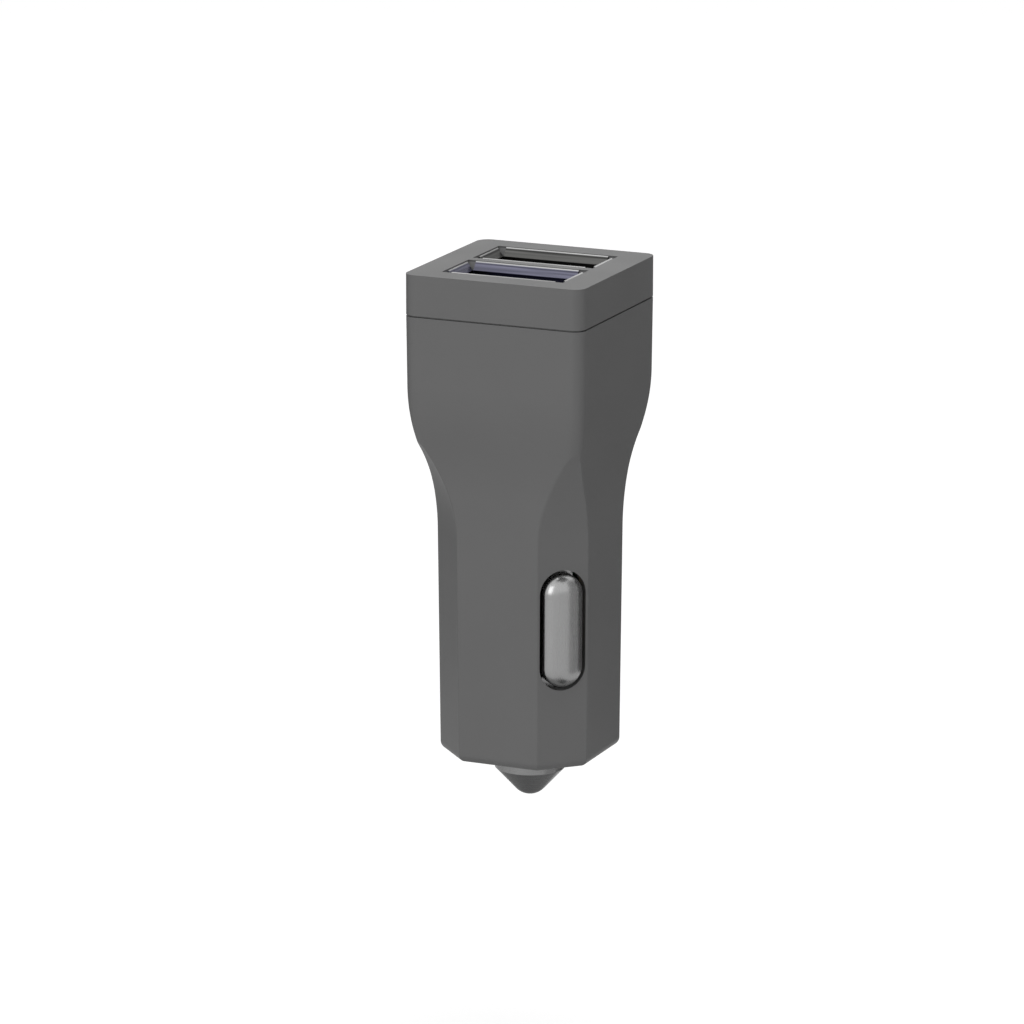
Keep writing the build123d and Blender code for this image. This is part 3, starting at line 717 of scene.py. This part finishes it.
for can, can_length in can_lengths.items():
    low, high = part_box(can)
    can_radius = (high.x - low.x) / 2
    can_middle = (high.x + low.x) / 2 * x_axis + (high.y - can_radius) * y_axis
    section = sleeve_section(can_radius, high.z - can_length, high.z)
    stripe = high.y - stripe_share * can_radius
    film = sleeve_finish(can + "_sleeve", stripe - stripe_blur, stripe + stripe_blur)
    sleeve = turned(can_middle, z_axis, x_axis, y_axis, section, corners=72)
    add_piece(can + "_sleeve", [sleeve], film)

# %% [markdown]
# ## Solder
#
# Molten solder climbs a lead and thins out to nothing on the pad. A ball pressed flat would meet
# the pad at a steep edge. So the profile is round at the top and hollow at the rim: its height is
# the full height times one minus the squared distance, to the power 1.5. One mesh holds all the
# mounds: at the tails of the port contacts, the legs of the chips and the ends of the small
# chips. The cans' leads have none, because other pieces stand over their ends.

# %% One mound
mound_steps = 9
mound_top = 0.05
mound_corners = 20
mound_sunk = 0.02 * MM


def mound(place, facing, reach_x, reach_z, height):
    """A mound on the board's face at place, facing -1 (front) or 1 (rear): height (1 - r r)^1.5
    above the board, r from 1 at the rim to mound_top. A second rim is sunk into the board."""
    r = np.concatenate([[1.0], np.linspace(1, mound_top, mound_steps)])
    rise = height * (1 - r ** 2) ** 1.5
    rise[0] = -mound_sunk
    path = np.array(place) + rise[:, None] * facing * y_axis
    corners = circle_profile(1.0, mound_corners) * (reach_x, reach_z)
    return skin(carried(path, facing * x_axis, -z_axis, corners, scale=r))

# %% [markdown]
# A mound is given by its reach along X, its reach along Z and its height. Legs and tails have
# mounds of one size, and those at the ends of a small chip are as wide as the chip.

# %% Solder mounds
tail_mound = (0.8 * MM, 0.7 * MM, 0.42 * MM)
tail_up = 0.3 * MM
leg_mound = (0.4 * MM, 0.36 * MM, 0.22 * MM)
chip_legs = {"converter_chip": (4, 1.27 * MM), "port_chip": (3, 0.95 * MM)}
end_reach = 0.42 * MM
end_height = 0.4 * MM


def solder_spots(node, low, high):
    """The mounds of one piece as (x, z, reach along X, reach along Z, height), or none. chip_legs
    gives the legs on one side and their pitch."""
    middle_z = (low.z + high.z) / 2
    if node.startswith("usb_pin"):
        return [((low.x + high.x) / 2, low.z + tail_up, *tail_mound)]
    if node.startswith("chip_") or node in ("fuse", "diode"):
        return [(x, middle_z, end_reach, (high.z - low.z) / 2, end_height) for x in (low.x, high.x)]
    if node in chip_legs:
        legs, pitch = chip_legs[node]
        leg_heights = [middle_z + (leg - (legs - 1) / 2) * pitch for leg in range(legs)]
        return [(x, z, *leg_mound) for z in leg_heights for x in (low.x, high.x)]
    return []


mounds = []
board_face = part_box("circuit_board")[1].y
for node in frame["nodes"]:
    low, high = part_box(node)
    facing = -1 if low.y + high.y < 0 else 1
    for x, z, reach_x, reach_z, height in solder_spots(node, low, high):
        mounds.append(mound((x, board_face * facing, z), facing, reach_x, reach_z, height))

solder = new_finish("solder", grey(200), roughness=0.2, metallic=1.0)
vary(solder, "Roughness", add_noise(solder, cells=2500.0), low=0.15, high=0.3)
add_piece("solder_mounds", mounds, solder, flat_ends=False)
print("mounds of solder:", len(mounds))

# %% [markdown]
# ## Floor
#
# The picture has a pure white ground. The floor lies well below the tip, so that the plug floats
# as in the picture and its shadow stays soft. More light would whiten it too, but it would wash
# out the plug. So the floor adds a little light of its own, and only the camera sees that.

# %% Floor
floor_drop = 32 * MM
floor_width = 6.0
floor_glow = 0.4


def flat_grid(width, height, rows):
    """A level square: x and y run evenly over the width, z is the height. Returns rows x rows x 3."""
    steps = np.linspace(-width / 2, width / 2, rows)
    x, y = np.meshgrid(steps, steps, indexing="ij")
    return np.stack([x, y, np.full_like(x, height)], axis=-1)


def grid_mesh(name, points, finish):
    """An object from a grid of points (rows x columns x 3), one square for each four neighbours."""
    rows, columns = points.shape[:2]
    corner = (np.arange(rows - 1)[:, None] * columns + np.arange(columns - 1)).ravel()
    faces = np.stack([corner, corner + columns, corner + columns + 1, corner + 1], axis=1)
    mesh = bpy.data.meshes.new(name)
    mesh.from_pydata(points.reshape(-1, 3), [], faces.tolist())
    mesh.materials.append(finish)
    thing = bpy.data.objects.new(name, mesh)
    bpy.context.scene.collection.objects.link(thing)
    return thing


floor_white = new_finish("floor_white", grey(232), roughness=0.9)
floor_nodes, floor_links = floor_white.node_tree.nodes, floor_white.node_tree.links
floor_shader = floor_nodes["Principled BSDF"]
floor_seen = floor_nodes.new("ShaderNodeLightPath")
floor_lift = floor_nodes.new("ShaderNodeMath")
floor_lift.operation = "MULTIPLY"
floor_lift.inputs[1].default_value = floor_glow
floor_shader.inputs["Emission Color"].default_value = (1, 1, 1, 1)
floor_links.new(floor_seen.outputs["Is Camera Ray"], floor_lift.inputs[0])
floor_links.new(floor_lift.outputs["Value"], floor_shader.inputs["Emission Strength"])

floor_height = cad_box[0].z - floor_drop
grid_mesh("floor", flat_grid(floor_width, floor_height, rows=3), floor_white)
print("floor at", round(floor_height, 4))

# %% [markdown]
# ## World
#
# The world is white to the camera, in reflections and through glass, and plain, weaker light to
# everything else. The Light Path node tells the two cases apart: it is 1 for the kinds of ray
# that look, and the larger of the three values picks the strength.

# %% World
world_light = 0.63
world = bpy.data.worlds.new("studio")
bpy.context.scene.world = world
world.use_nodes = True
world_nodes, world_links = world.node_tree.nodes, world.node_tree.links
background = world_nodes["Background"]
background.inputs["Color"].default_value = (1, 1, 1, 1)
ray = world_nodes.new("ShaderNodeLightPath")
seen = world_nodes.new("ShaderNodeMath")
seen.operation = "MAXIMUM"
seen_or_sent = world_nodes.new("ShaderNodeMath")
seen_or_sent.operation = "MAXIMUM"
strength = world_nodes.new("ShaderNodeMapRange")
strength.inputs["To Min"].default_value = world_light
strength.inputs["To Max"].default_value = 1.0
world_links.new(ray.outputs["Is Camera Ray"], seen.inputs[0])
world_links.new(ray.outputs["Is Glossy Ray"], seen.inputs[1])
world_links.new(seen.outputs["Value"], seen_or_sent.inputs[0])
world_links.new(ray.outputs["Is Transmission Ray"], seen_or_sent.inputs[1])
world_links.new(seen_or_sent.outputs["Value"], strength.inputs["Value"])
world_links.new(strength.outputs["Result"], background.inputs["Strength"])
print("world light:", world_light)

# %% [markdown]
# ## Cards
#
# In an all-white room satin plastic and nickel lose their form, because every side mirrors the
# same white. A darker world would grey the ground too. So a photographer stands dark cards just
# outside the picture. These do that work alone: only reflections see them, so they throw no
# shadow and hide nothing.

# %% One card
def card(name, middle, across, upwards, finish):
    """A flat card: middle + s across + t upwards, with s and t from -1/2 to 1/2."""
    steps = np.linspace(-0.5, 0.5, 2)
    s, t = np.meshgrid(steps, steps, indexing="ij")
    thing = grid_mesh(name, middle + s[..., None] * across + t[..., None] * upwards, finish)
    thing.visible_camera = False
    thing.visible_diffuse = False
    thing.visible_transmission = False
    thing.visible_shadow = False
    print(name)

# %% [markdown]
# Three cards stand round the plug: their turn is counted in degrees from the rear towards the
# right. Three lie level: one over the plug and a small one on the floor give the dark spots at
# the ends of the side button, and one on the floor darkens the underside of the tip.

# %% Standing and level cards
card_tones = {"black": 50, "dark": 97, "grey": 155, "pale": 195}
card_finishes = {
    tone: new_finish("card_" + tone, grey(level), roughness=0.9)
    for tone, level in card_tones.items()
}

standing_cards = (
    {"name": "card_right", "turn": 35, "distance": 0.10, "width": 0.14, "height": 0.13, "tone": "dark"},
    {"name": "card_left", "turn": -75, "distance": 0.16, "width": 0.22, "height": 0.20, "tone": "dark"},
    {"name": "card_side", "turn": 90, "distance": 0.10, "width": 0.065, "height": 0.13, "tone": "pale"},
)
for plan in standing_cards:
    turn = math.radians(plan["turn"])
    away = math.sin(turn) * x_axis + math.cos(turn) * y_axis
    across = math.cos(turn) * x_axis - math.sin(turn) * y_axis
    middle = plan["distance"] * away + (floor_height + plan["height"] / 2) * z_axis
    card(
        plan["name"], middle, plan["width"] * across, plan["height"] * z_axis,
        card_finishes[plan["tone"]],
    )

level_cards = (
    {"name": "card_over", "middle": (0.085, -0.045, 0.17), "size": (0.15, 0.11), "tone": "black"},
    {"name": "card_low", "middle": (0.032, -0.018, floor_height + 2 * MM), "size": (0.022, 0.022),
     "tone": "black"},
    {"name": "card_below", "middle": (0, 0, floor_height + 1 * MM), "size": (0.085, 0.085),
     "tone": "grey"},
)
for plan in level_cards:
    width, depth = plan["size"]
    card(
        plan["name"], np.array(plan["middle"]), width * x_axis, depth * y_axis,
        card_finishes[plan["tone"]],
    )

# %% [markdown]
# ## Lamps
#
# Two wide, soft lamps shape the form. One above makes the USB face the brightest plane, and one
# in front makes the front face a little lighter than the sides. Small lamps would throw hard
# shadows. The strengths of the two come from the greys of the faces: a face's light is the sum
# of what each lamp and the world give it alone. The Standard view shows colours as written.

# %% Soft lamps
def soft_lamp(name, position, watts, width):
    """A square lamp of that width in metres, aimed at the middle of the plug."""
    lamp_data = bpy.data.lights.new(name, "AREA")
    lamp_data.energy = watts
    lamp_data.size = width
    lamp = bpy.data.objects.new(name, lamp_data)
    lamp.location = position
    towards_plug = Vector((0, 0, aim_height)) - lamp.location
    lamp.rotation_euler = towards_plug.to_track_quat("-Z", "Y").to_euler()
    bpy.context.scene.collection.objects.link(lamp)
    print(name, watts, "W")


soft_lamp("lamp_above", (0.1, -0.05, 1.0), watts=2.0, width=0.5)
soft_lamp("lamp_front", (-0.2, -1.2, 0.35), watts=2.7, width=0.7)
bpy.context.scene.view_settings.view_transform = "Standard"
